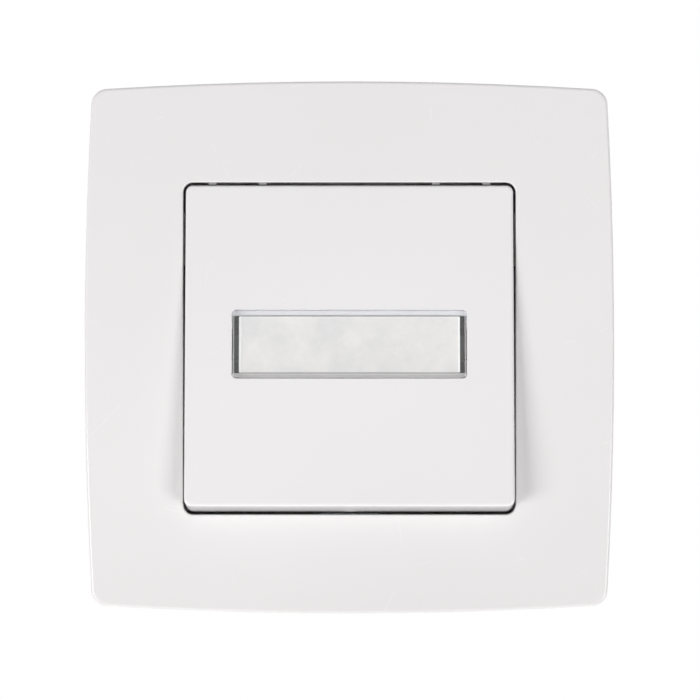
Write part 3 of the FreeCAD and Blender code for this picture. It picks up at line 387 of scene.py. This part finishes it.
low, high = (np.array(corner, dtype=float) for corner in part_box("contact_spring"))
coil_turns = 1.5
wire_r = 0.00022
mean_r = (high[0] - low[0]) / 2 - 0.00030
points, triangles = coil(low[1], high[1], coil_turns, mean_r, wire_r)
surfaced("contact_spring", points + [0.0, 0.0, (low[2] + high[2]) / 2], triangles, wire_steel)


# Plunger: moulded acetal, milk white and waxy, so light goes a little way in.
# It slides dry in its guide and has a faint satin sheen, uneven over about a millimetre.
plunger_acetal, tree, shader, place = start_finish(
    "moulded_acetal_natural_white", IOR=1.48, Subsurface_Weight=0.15, Subsurface_Scale=0.0008)
wax = node(tree, "TexNoise", {"Vector": place, "Scale": per_mm(1.2), "Detail": 2.0})
tone = node(tree, "ValToRGB", {"Fac": (wax, "Fac")}, [(0.3, "#E6E4DC"), (0.7, "#EFEEE8")])
gloss = node(tree, "MapRange", {"Value": (wax, "Fac"), "To Min": 0.26, "To Max": 0.36})
plug(tree, shader, Base_Color=(tone, "Color"), Roughness=(gloss, "Result"))
dressed("plunger", plunger_acetal)


# Mechanism cover, cradle and lamp holder: glass-filled polyamide, dark grey and matt. The dark grey is the
# polyamide's own colour and partly painted shade, so the gap round the button stays dark.
# Short glass fibres just under the skin give faint streaks, here 1.5 mm long so that they show.
dark_nylon_and_gap_shade, tree, shader, place = start_finish("glass_filled_polyamide_dark_grey", IOR=1.53)
stretch = node(tree, "Mapping", {"Vector": place, "Scale": (1.0, 1.0, 0.2)})
fibres = node(tree, "TexNoise", {"Vector": (stretch, "Vector"), "Scale": per_mm(0.3), "Detail": 3.0})
tone = node(tree, "ValToRGB", {"Fac": (fibres, "Fac")}, [(0.3, "#3E4043"), (0.7, "#4A4C4F")])
gloss = node(tree, "MapRange", {"Value": (fibres, "Fac"), "To Min": 0.36, "To Max": 0.52})
relief = node(tree, "Bump", {"Height": (fibres, "Fac"), "Strength": 0.3, "Distance": 0.00001})
plug(tree, shader, Base_Color=(tone, "Color"), Roughness=(gloss, "Result"), Normal=(relief, "Normal"))
for part in ("mechanism_cover", "rocker_cradle", "lamp_holder"):
    dressed(part, dark_nylon_and_gap_shade)


# Lamp: a small clear glass bulb drawn from tube, with its resistor, a lacquered ceramic rod.
# The glass has the faint ripple of drawn tube; the lacquer is beige, glossy and a little uneven.
bulb_glass, tree, shader, place = start_finish(
    "drawn_lamp_glass_clear", IOR=1.50, Transmission_Weight=1.0, Base_Color=linear("#F4F1EA"))
ripple = node(tree, "TexNoise", {"Vector": place, "Scale": per_mm(2.0), "Detail": 1.0})
relief = node(tree, "Bump", {"Height": (ripple, "Fac"), "Strength": 0.2, "Distance": 0.00005})
gloss = node(tree, "MapRange", {"Value": (ripple, "Fac"), "To Min": 0.01, "To Max": 0.04})
plug(tree, shader, Roughness=(gloss, "Result"), Normal=(relief, "Normal"))
low, high = (np.array(corner, dtype=float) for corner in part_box("lamp"))
bulb_r = (high[0] - low[0]) / 2
around = np.linspace(0, 2 * math.pi, 41)


def bulb_wall(radius):
    """Rows of a round-ended tube of this radius: a half sphere at the front, then straight to a closed foot.

    The sphere's middle is bulb_r behind the front for every radius, and a wall inside the bulb ends as far in
    front of the foot as it lies inside the glass, so the wall has the same thickness everywhere.
    """
    dome = np.linspace(0, math.pi / 2, 13)
    front = low[1] + bulb_r
    radii = np.concatenate([radius * np.sin(dome), [radius, 0.0]])
    depths = np.concatenate([front - radius * np.cos(dome), [high[1] - (bulb_r - radius)] * 2])
    return turned(radii[:, None], depths[:, None], around)


glass_t = 0.0004
outside = bulb_wall(bulb_r)
inside = bulb_wall(bulb_r - glass_t)[::-1]
surfaced("lamp", *cells(outside, inside), bulb_glass)
resistor_lacquer, tree, shader, place = start_finish("lacquered_ceramic_beige", IOR=1.52)
pooled = node(tree, "TexNoise", {"Vector": place, "Scale": per_mm(1.5), "Detail": 2.0})
tone = node(tree, "ValToRGB", {"Fac": (pooled, "Fac")}, [(0.3, "#B89A68"), (0.7, "#CBB083")])
gloss = node(tree, "MapRange", {"Value": (pooled, "Fac"), "To Min": 0.15, "To Max": 0.30})
plug(tree, shader, Base_Color=(tone, "Color"), Roughness=(gloss, "Result"))
dressed("lamp_resistor", resistor_lacquer)


# Clip ring: polyamide, moulded light grey. Its eight small brackets stand in the gap round the button and
# catch the cover frame; they are the grey bits that show there. The upper pair at the sides shows over its
# whole length, so the web between its posts is moved in, level with the posts' inner faces.
ring_nylon, tree, shader, place = start_finish("moulded_polyamide_light_grey", IOR=1.53)
grain = node(tree, "TexNoise", {"Vector": place, "Scale": per_mm(0.2), "Detail": 2.0})
tone = node(tree, "ValToRGB", {"Fac": (grain, "Fac")}, [(0.3, "#D0D2D5"), (0.7, "#D9DBDE")])
gloss = node(tree, "MapRange", {"Value": (grain, "Fac"), "To Min": 0.34, "To Max": 0.48})
relief = node(tree, "Bump", {"Height": (grain, "Fac"), "Strength": 0.3, "Distance": 0.00001})
plug(tree, shader, Base_Color=(tone, "Color"), Roughness=(gloss, "Result"), Normal=(relief, "Normal"))
web_face = 0.02675
post_face = 0.0262
bracket_low = 0.0129
bracket_high = 0.0215
near = 0.00001
points, triangles = solid_triangles("clip_ring")
in_bracket = (points[:, 2] > bracket_low) & (points[:, 2] < bracket_high)
moved = in_bracket & (np.abs(np.abs(points[:, 0]) - web_face) < near)
points[moved, 0] = np.sign(points[moved, 0]) * post_face
surfaced("clip_ring", points, triangles, ring_nylon)


# Cover frame and button: white polycarbonate moulded against polished steel, so the face is glossy.
# The skin keeps a very shallow orange-peel ripple, and handling has left a few hairlines and dust specks.
def white_polycarbonate(name, light, dark):
    """Glossy white polycarbonate: a slow drift of tone, moulded ripple, hairlines 0.05 mm wide and dust.

    A hairline runs along the borders of 24 mm cells drawn on the face, where a 5 mm cloud, times how far the
    surface looks forward, is high enough. A dust speck is the middle of a 9 mm cell, in the quarter of the
    cells whose own random shade is highest.
    """
    hairline_share, hairline_cloud = 0.001, 0.59
    speck_share, speck_shade = 0.012, 0.75
    made, tree, shader, place = start_finish(name, IOR=1.58)
    drift = node(tree, "TexNoise", {"Vector": place, "Scale": per_mm(45.0), "Detail": 1.0})
    tone = node(tree, "ValToRGB", {"Fac": (drift, "Fac")}, [(0.3, dark), (0.7, light)])
    flat = node(tree, "Mapping", {"Vector": place, "Scale": (1.0, 0.0, 1.0)})
    border = node(tree, "TexVoronoi", {"Vector": (flat, "Vector"), "Scale": per_mm(24.0)},
                  feature="DISTANCE_TO_EDGE")
    line = node(tree, "Math", {0: (border, "Distance"), 1: hairline_share}, operation="LESS_THAN")
    cloud = node(tree, "TexNoise", {"Vector": place, "Scale": per_mm(5.0)})
    normal = node(tree, "SeparateXYZ", {"Vector": (node(tree, "TexCoord"), "Normal")})
    forward = node(tree, "Math", {0: (normal, "Y")}, operation="ABSOLUTE")
    patch = node(tree, "Math", {0: (cloud, "Fac"), 1: (forward, "Value")}, operation="MULTIPLY")
    shows = node(tree, "Math", {0: (patch, "Value"), 1: hairline_cloud}, operation="GREATER_THAN")
    hairline = node(tree, "Math", {0: (line, "Value"), 1: (shows, "Value")}, operation="MULTIPLY")
    scuffed = node(tree, "Mix", {"Factor": (hairline, "Value"), "A": (tone, "Color"), "B": linear("#F7F6F7")},
                   data_type="RGBA")
    cell = node(tree, "TexVoronoi", {"Vector": place, "Scale": per_mm(9.0)})
    middle = node(tree, "Math", {0: (cell, "Distance"), 1: speck_share}, operation="LESS_THAN")
    chance = node(tree, "SeparateColor", {"Color": (cell, "Color")})
    chosen = node(tree, "Math", {0: (chance, "Red"), 1: speck_shade}, operation="GREATER_THAN")
    speck = node(tree, "Math", {0: (middle, "Value"), 1: (chosen, "Value")}, operation="MULTIPLY")
    dusty = node(tree, "Mix", {"Factor": (speck, "Value"), "A": (scuffed, "Result"), "B": linear("#C9C4C2")},
                 data_type="RGBA")
    peel = node(tree, "TexNoise", {"Vector": place, "Scale": per_mm(1.6), "Detail": 1.0})
    haze = node(tree, "TexNoise", {"Vector": place, "Scale": per_mm(6.0), "Detail": 3.0})
    gloss = node(tree, "MapRange", {"Value": (haze, "Fac"), "To Min": 0.13, "To Max": 0.21})
    relief = node(tree, "Bump", {"Height": (peel, "Fac"), "Strength": 0.5, "Distance": 0.000005})
    plug(tree, shader, Base_Color=(dusty, "Result"), Roughness=(gloss, "Result"), Normal=(relief, "Normal"))
    return made


frame_white = white_polycarbonate("moulded_polycarbonate_gloss_white_frame", "#EDEBEB", "#EAE8E8")
dressed("cover_frame", frame_white)
# Painted light: the button's copy of the white is a shade lighter than the frame's, for the brighter light on
# its face.
button_white_painted_lighter = white_polycarbonate("moulded_polycarbonate_gloss_white_button_painted_lighter", "#F2F0F1", "#EFEDEE")
dressed("push_button", button_white_painted_lighter)


# Label tray: opal polycarbonate behind the card, which spreads the lamp's light over its whole width.
# It is milky, so most of what enters comes back out scattered.
tray_opal, tree, shader, place = start_finish(
    "opal_polycarbonate", IOR=1.58, Subsurface_Weight=0.4, Subsurface_Scale=0.0012)
milk = node(tree, "TexNoise", {"Vector": place, "Scale": per_mm(2.5), "Detail": 2.0})
tone = node(tree, "ValToRGB", {"Fac": (milk, "Fac")}, [(0.3, "#E8E8E3"), (0.7, "#F0F0EC")])
gloss = node(tree, "MapRange", {"Value": (milk, "Fac"), "To Min": 0.28, "To Max": 0.40})
plug(tree, shader, Base_Color=(tone, "Color"), Roughness=(gloss, "Result"))
dressed("label_tray", tray_opal)


# Label card: blank white paper board. Its fibres give a faint mottling, from 6 mm clouds down to fine grain,
# and a few brown pulp specks. Its two ends are whiter by a ragged 0.1 to 0.6 mm, where the board was cut.
card_paper, tree, shader, place = start_finish("uncoated_white_paper_board", IOR=1.45)
mottle = node(tree, "TexNoise", {"Vector": place, "Scale": per_mm(6.0), "Detail": 6.0, "Roughness": 0.72})
board = node(tree, "ValToRGB", {"Fac": (mottle, "Fac")},
             [(0.35, "#E5E3E3"), (0.5, "#ECEAE9"), (0.65, "#F3F0ED")])
card_end = float(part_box("label_card")[1][0])
least_cut = 0.0001
most_cut = 0.0006
speck_share = 0.028
across = node(tree, "SeparateXYZ", {"Vector": place})
sideways = node(tree, "Math", {0: (across, "X")}, operation="ABSOLUTE")
ragged = node(tree, "MapRange", {"Value": (mottle, "Fac"), "To Min": card_end - most_cut,
                                 "To Max": card_end - least_cut})
at_end = node(tree, "Math", {0: (sideways, "Value"), 1: (ragged, "Result")}, operation="GREATER_THAN")
cut = node(tree, "Mix", {"Factor": (at_end, "Value"), "A": (board, "Color"), "B": linear("#FFFFFF")},
           data_type="RGBA")
cell = node(tree, "TexVoronoi", {"Vector": place, "Scale": per_mm(3.2)})
middle = node(tree, "Math", {0: (cell, "Distance"), 1: speck_share}, operation="LESS_THAN")
pulp = node(tree, "Mix", {"Factor": (middle, "Value"), "A": (cut, "Result"), "B": linear("#9A927E")},
            data_type="RGBA")
fibres = node(tree, "TexNoise", {"Vector": place, "Scale": per_mm(0.15), "Detail": 4.0})
gloss = node(tree, "MapRange", {"Value": (fibres, "Fac"), "To Min": 0.75, "To Max": 0.92})
relief = node(tree, "Bump", {"Height": (fibres, "Fac"), "Strength": 0.4, "Distance": 0.00003})
plug(tree, shader, Base_Color=(pulp, "Result"), Roughness=(gloss, "Result"), Normal=(relief, "Normal"))
card = dressed("label_card", card_paper)


# Label window: clear polycarbonate with rounded edges that stand just proud of the button, polished on both
# faces. Light shines straight through it to the card, and is a little weaker and bluer through the rail above
# the card. A thin grey line is painted along its top rim: painted shade for the dark gap between the window
# and its pocket. Both places are measured up the button's leaning face.
window_clear, tree, shader, place = start_finish(
    "polished_clear_polycarbonate", IOR=1.58, Transmission_Weight=1.0)
rim_shade_width = 0.00014
card_front = max(card.data.polygons, key=lambda face: -face.area * face.normal.y).normal
upward = Vector((0.0, card_front.z, -card_front.y))
card_top = max(corner.co.dot(upward) for corner in card.data.vertices)
window_top = max(corner.co.dot(upward) for corner in frame["nodes"]["label_window"].data.vertices)
height = node(tree, "VectorMath", {0: place, 1: upward}, operation="DOT_PRODUCT")
in_rail = node(tree, "Math", {0: (height, "Value"), 1: card_top}, operation="GREATER_THAN")
# Painted shade: the outermost 0.14 mm of the top rim is mixed to grey below, for the dark gap round the
# window.
painted_rim_shade = node(tree, "Math", {0: (height, "Value"), 1: window_top - rim_shade_width}, operation="GREATER_THAN")
ripple = node(tree, "TexNoise", {"Vector": place, "Scale": per_mm(4.0), "Detail": 1.0})
relief = node(tree, "Bump", {"Height": (ripple, "Fac"), "Strength": 0.15, "Distance": 0.00001})
gloss = node(tree, "MapRange", {"Value": (ripple, "Fac"), "To Min": 0.0, "To Max": 0.03})
tone = node(tree, "Mix", {"Factor": (painted_rim_shade, "Value"), "A": linear("#FAFBFB"), "B": linear("#9DA1A8")},
            data_type="RGBA")
plug(tree, shader, Base_Color=(tone, "Result"), Roughness=(gloss, "Result"), Normal=(relief, "Normal"))
path = node(tree, "LightPath")
lighting = node(tree, "Math", {0: (path, "Is Shadow Ray"), 1: (path, "Is Diffuse Ray")}, operation="MAXIMUM")
shade = node(tree, "Mix", {"Factor": (in_rail, "Value"), "A": linear("#FFFFFF"), "B": linear("#F3F4F6")},
             data_type="RGBA")
through = node(tree, "BsdfTransparent", {"Color": (shade, "Result")})
surface = node(tree, "MixShader", {0: (lighting, "Value"), 1: (shader, "BSDF"), 2: (through, "BSDF")})
tree.links.new(surface.outputs["Shader"], tree.nodes["Material Output"].inputs["Surface"])
dressed("label_window", window_clear)


# Two square softboxes stand 2 m away, low left and low right of the camera; the left one is the stronger and
# more from the side. So the button's raised lower edge throws a soft shadow each way. Each is (side, degrees
# out from the wall's plane, size in metres, power), and from the front both lie 24 degrees below the middle.
softboxes = {"left": (-1, 42.0, 1.0, 26.1), "right": (1, 51.0, 0.9, 17.9)}
softbox_distance = 2.0
drop = math.radians(24.0)
for name, (side, degrees, size, power) in softboxes.items():
    softbox = bpy.data.lights.new("softbox_" + name, "AREA")
    softbox.shape = "SQUARE"
    softbox.size = size
    softbox.energy = power
    stand = bpy.data.objects.new("softbox_" + name, softbox)
    forward = math.radians(degrees)
    flat = math.cos(forward)
    way = Vector((side * math.cos(drop) * flat, -math.sin(forward), -math.sin(drop) * flat))
    stand.location = softbox_distance * way
    stand.rotation_euler = (-way).to_track_quat("-Z", "Y").to_euler()
    bpy.context.scene.collection.objects.link(stand)


# The room is a white tent. Its light on the surfaces fades to nothing behind the camera and at the foot of
# the walls, and is brighter overhead and behind the switch. Seen directly, in a mirror or through glass, it
# is plain white.
def white_to_sight(tree):
    """Light Path, and 1 for a ray from the camera, a mirror or glass: the greatest of the three; else 0."""
    path = node(tree, "LightPath")
    mirrored = node(tree, "Math", {0: (path, "Is Camera Ray"), 1: (path, "Is Glossy Ray")},
                    operation="MAXIMUM")
    seen = node(tree, "Math", {0: (mirrored, "Value"), 1: (path, "Is Transmission Ray")}, operation="MAXIMUM")
    return path, (seen, "Value")


behind_camera = 0.0
behind_switch = 0.75
at_ceiling = 0.83
at_foot = 0.0
world = bpy.data.worlds.new("plain_studio")
bpy.context.scene.world = world
world.use_nodes = True
tree = world.node_tree
path, seen = white_to_sight(tree)
before_bounce = node(tree, "Math", {0: (path, "Diffuse Depth"), 1: 0.5}, operation="LESS_THAN")
direct = node(tree, "Math", {0: seen, 1: (before_bounce, "Value")}, operation="MULTIPLY")
way = node(tree, "SeparateXYZ", {"Vector": (node(tree, "TexCoord"), "Generated")})
wall = node(tree, "MapRange", {"Value": (way, "Z"), "From Min": -1.0, "To Min": at_foot,
                               "To Max": at_ceiling})
rear = node(tree, "MapRange", {"Value": (way, "Y"), "To Min": (wall, "Result"), "To Max": behind_switch})
tent = node(tree, "MapRange", {"Value": (way, "Y"), "From Max": -1.0, "To Min": (rear, "Result"),
                               "To Max": behind_camera})
strength = node(tree, "MapRange", {"Value": (direct, "Value"), "To Min": (tent, "Result"), "To Max": 1.0})
background = tree.nodes["Background"]
background.inputs["Color"].default_value = (1.0, 1.0, 1.0, 1.0)
tree.links.new(strength.outputs["Result"], background.inputs["Strength"])


# Floor: a round white light table well below the switch, out of the front view. It glows a little, which
# lights the switch from below, keeps a soft shadow, and fades to the white of the room at its rim. A camera
# beneath it sees no table, so it isn't in the way there.
table_glow = 0.28
glow_to_sight = 0.5
fade_start = 0.45
fade_end = 0.97
floor_height = -0.150
floor_radius = 0.34
turn = np.linspace(0, 2 * math.pi, 96, endpoint=False)
reach = np.linspace(0.0, floor_radius, 18)[1:]
rim = np.stack([np.outer(reach, np.cos(turn)), np.outer(reach, np.sin(turn)),
                np.full((reach.size, turn.size), floor_height)], axis=-1).reshape(-1, 3)
points = np.vstack([[[0.0, 0.0, floor_height]], rim])
column = np.arange(turn.size)
after = (column + 1) % turn.size
inner = np.stack([np.zeros_like(column), 1 + column, 1 + after], axis=1).tolist()
ring = (1 + np.arange(reach.size - 1) * turn.size)[:, None]
outer = np.stack([ring + column, ring + turn.size + column, ring + turn.size + after, ring + after], axis=-1)
mesh = bpy.data.meshes.new("floor")
mesh.from_pydata(points.tolist(), [], inner + outer.reshape(-1, 4).tolist())
floor = bpy.data.objects.new("floor", mesh)
bpy.context.scene.collection.objects.link(floor)

table_acrylic = bpy.data.materials.new("lit_white_acrylic_table")
table_acrylic.use_nodes = True
mesh.materials.append(table_acrylic)
tree = table_acrylic.node_tree
tree.nodes.remove(tree.nodes["Principled BSDF"])
place = (node(tree, "TexCoord"), "Object")
flat = node(tree, "Mapping", {"Vector": place, "Scale": (1 / floor_radius, 1 / floor_radius, 0.0)})
distance = node(tree, "VectorMath", {0: (flat, "Vector")}, operation="LENGTH")
fade = node(tree, "MapRange", {"Value": (distance, "Value"), "From Min": fade_start, "From Max": fade_end},
            interpolation_type="SMOOTHSTEP")
matt = node(tree, "BsdfDiffuse", {"Color": linear("#F2F2F1")})
glow = node(tree, "Emission", {"Color": (1.0, 1.0, 1.0, 1.0), "Strength": 1.0})
lit = node(tree, "MixShader", {0: glow_to_sight, 1: (matt, "BSDF"), 2: (glow, "Emission")})
path, seen = white_to_sight(tree)
from_below = node(tree, "Emission", {"Color": (1.0, 1.0, 1.0, 1.0), "Strength": table_glow})
glowing = node(tree, "AddShader", {0: (matt, "BSDF"), 1: (from_below, "Emission")})
table = node(tree, "MixShader", {0: seen, 1: (glowing, "Shader"), 2: (lit, "Shader")})
air = node(tree, "BsdfTransparent")
underside = node(tree, "NewGeometry")
beneath = node(tree, "Math", {0: (underside, "Backfacing"), 1: (path, "Is Camera Ray")}, operation="MULTIPLY")
gone = node(tree, "Math", {0: (fade, "Result"), 1: (beneath, "Value")}, operation="MAXIMUM")
surface = node(tree, "MixShader", {0: (gone, "Value"), 1: (table, "Shader"), 2: (air, "BSDF")})
tree.links.new(surface.outputs["Shader"], tree.nodes["Material Output"].inputs["Surface"])

bpy.context.scene.view_settings.view_transform = "Standard"
